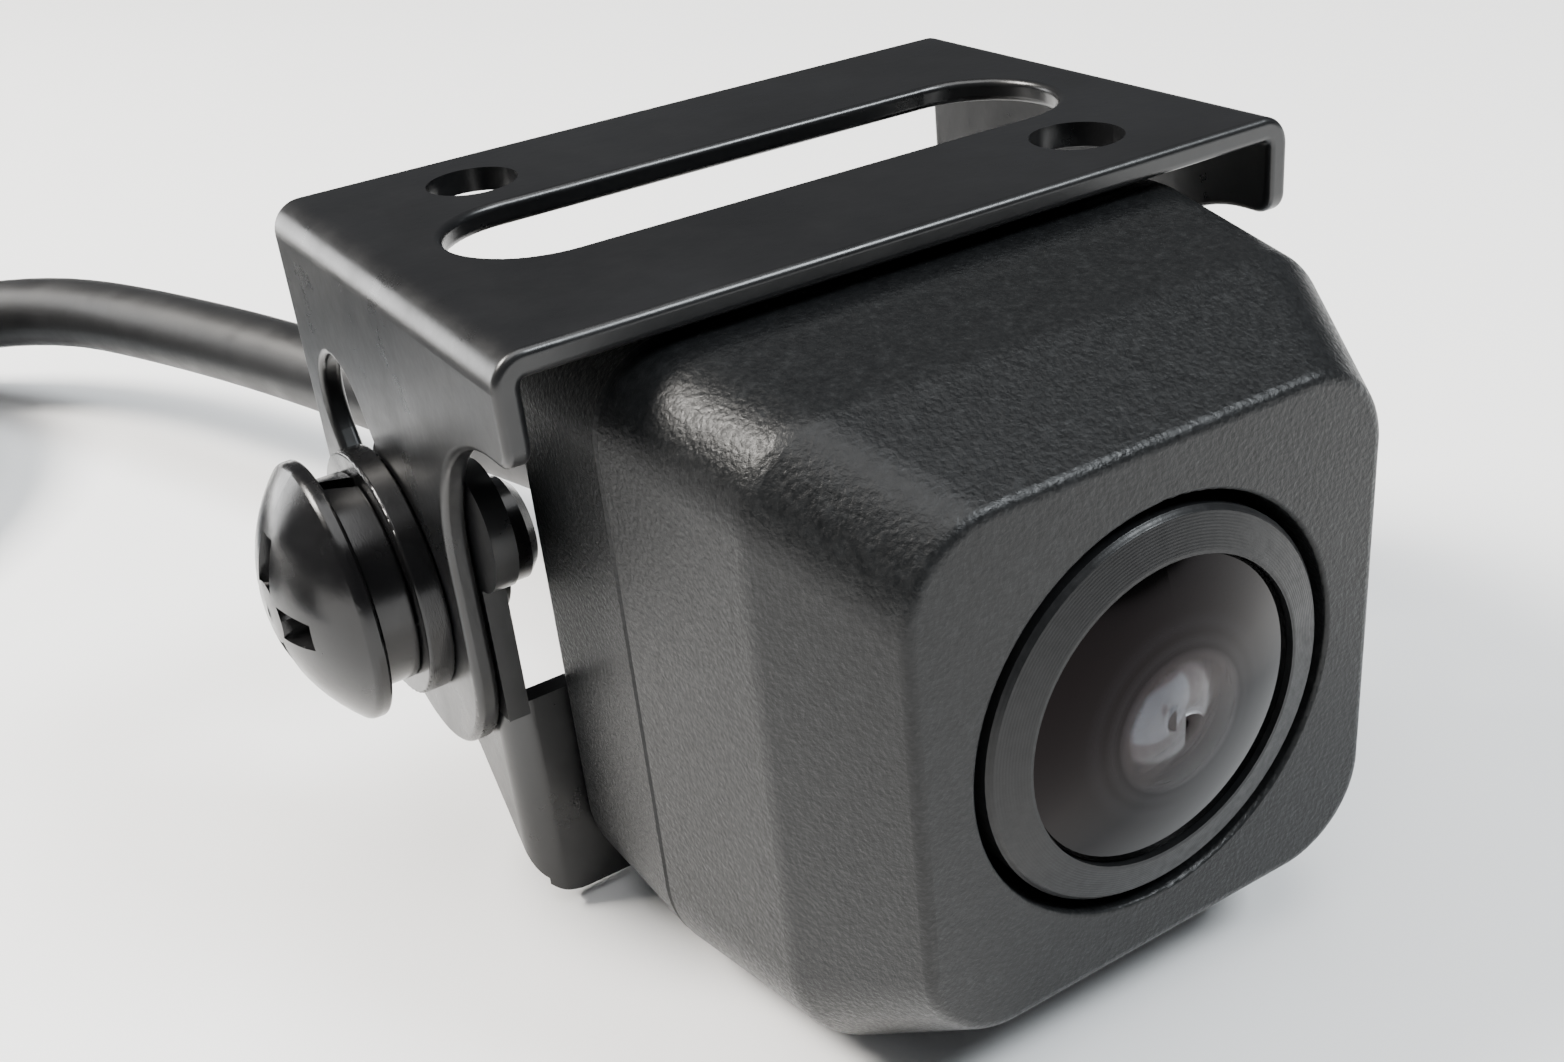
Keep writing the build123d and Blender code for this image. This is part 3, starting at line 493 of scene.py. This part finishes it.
moulded_material("inner_plastic", (0.02, 0.02, 0.021), 0.5).on(
    "lens_holder", "board_connector", "processor_chip"
)
moulded_material("plug_plastic", (0.72, 0.69, 0.6), 0.45).on("wire_plug")
moulded_material("connector_shell", (0.018, 0.018, 0.019), 0.46).on(
    "connector_body", "connector_collar"
)
moulded_material("connector_insert", (0.045, 0.045, 0.047), 0.5).on("connector_insert")
soft_black_material("seal", (0.016, 0.016, 0.016), 0.62).on("housing_seal", "lens_seal")
soft_black_material("grommet", (0.016, 0.016, 0.017), 0.55).on(
    "cable_gland", "strain_relief", "connector_boot"
)
soft_black_material("connector_seal", (0.42, 0.085, 0.015), 0.5).on("connector_seal")
board_material().on("sensor_board", "processor_board")
sensor_material().on("image_sensor")
wire_material().on("inner_wires")
gold_material().on("board_spacers", "connector_contacts")
strap_material().on("coil_tie")
jacket = soft_black_material("cable_jacket", (0.009, 0.009, 0.0095), 0.42, 0.8 * MM, 0.01 * MM)


# ---- Cable ----------------------------------------------------------------------------------

CABLE_DIAMETER = 4.2 * MM
# Control points in millimetres, like the coil's sizes below
RUN_TO_COIL = [
    (0, 0.9, 7.2),
    (0, 17.5, 7.2),
    (-3.9, 32.0, 7.1),
    (-10.0, 50.5, 7.6),
    (-17.6, 70.0, 6.9),
    (-30.2, 82.9, 3.0),
]
RUN_TO_CONNECTOR = [(-72.2, 60.5, 6.7), (-69.5, 50.5, 6.2), (-69.5, 36.5, 6.2)]

COIL_MIDDLE = (-49.0, 68.0)
COIL_OUTER, COIL_INNER = 23.1, 18.9
COIL_LOWER, COIL_UPPER = 2.6, 6.8
COIL_START, COIL_END = 60, 1260
COIL_STEP = 15
# Where the strand changes place: each change is over before the strand comes round to it again
MOVE_IN, MOVE_UP, MOVE_OUT, MOVE_ANGLE = 295, 595, 905, 60
# The last turn rises where it lies across the run that comes in below it
RISE, RISE_MIDDLE, RISE_HALF = 1.3, 1098, 75


def eased(angle, start):
    """From 0 to 1, smoothly, while the strand goes through a change of place."""
    part = min(1.0, max(0.0, (angle - start) / MOVE_ANGLE))
    return part * part * (3 - 2 * part)


def coil_points():
    """Control points of a round coil, two strands wide and two high, wound anticlockwise."""
    spread = 1 / math.cos(math.radians(COIL_STEP / 2))
    points = []
    for angle in range(COIL_START, COIL_END + 1, COIL_STEP):
        inward = eased(angle, MOVE_IN) - eased(angle, MOVE_OUT)
        radius = (COIL_OUTER + (COIL_INNER - COIL_OUTER) * inward) * spread
        height = COIL_LOWER + (COIL_UPPER - COIL_LOWER) * eased(angle, MOVE_UP)
        if abs(angle - RISE_MIDDLE) < RISE_HALF:
            height += RISE * (1 + math.cos(math.pi * (angle - RISE_MIDDLE) / RISE_HALF)) / 2
        turned = math.radians(angle)
        points.append(
            (
                COIL_MIDDLE[0] + radius * math.cos(turned),
                COIL_MIDDLE[1] + radius * math.sin(turned),
                height,
            )
        )
    return points


def cable_curve(points):
    """One smooth round cable through the route's control points, closed at both ends."""
    curve = bpy.data.curves.new("cable_jacket", "CURVE")
    curve.dimensions = "3D"
    spline = curve.splines.new("NURBS")
    spline.points.add(len(points) - 1)
    for control, place in zip(spline.points, points):
        control.co = (*(Vector(place) * MM), 1)
    spline.order_u = 3
    spline.use_endpoint_u = True
    spline.resolution_u = 10
    curve.bevel_depth = CABLE_DIAMETER / 2
    curve.bevel_resolution = 8
    curve.use_fill_caps = True
    curve.materials.append(jacket.material)
    made = bpy.data.objects.new("cable_jacket", curve)
    bpy.context.collection.objects.link(made)
    return made


cable_points = RUN_TO_COIL + coil_points() + RUN_TO_CONNECTOR
cable = cable_curve(cable_points)
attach(cable, "camera")
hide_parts("cable", "cable_coil", "cable_tail")


# ---- Floor ----------------------------------------------------------------------------------


def pale_floor():
    """A wide matt sheet that the housing stands on."""
    made = Surface("floor", (0.94, 0.94, 0.94), 0.75)
    made.colours(
        made.noise(60 * MM, detail=3), (0.3, (0.93, 0.93, 0.93)), (0.7, (0.95, 0.95, 0.95))
    )
    mesh = bpy.data.meshes.new("floor")
    half = 3000 * MM
    mesh.from_pydata(
        [(-half, -half, 0), (half, -half, 0), (half, half, 0), (-half, half, 0)], [], [(0, 1, 2, 3)]
    )
    mesh.materials.append(made.material)
    floor = bpy.data.objects.new("floor", mesh)
    floor.location.z = cad_box[0][2]
    bpy.context.collection.objects.link(floor)
    return floor


pale_floor()
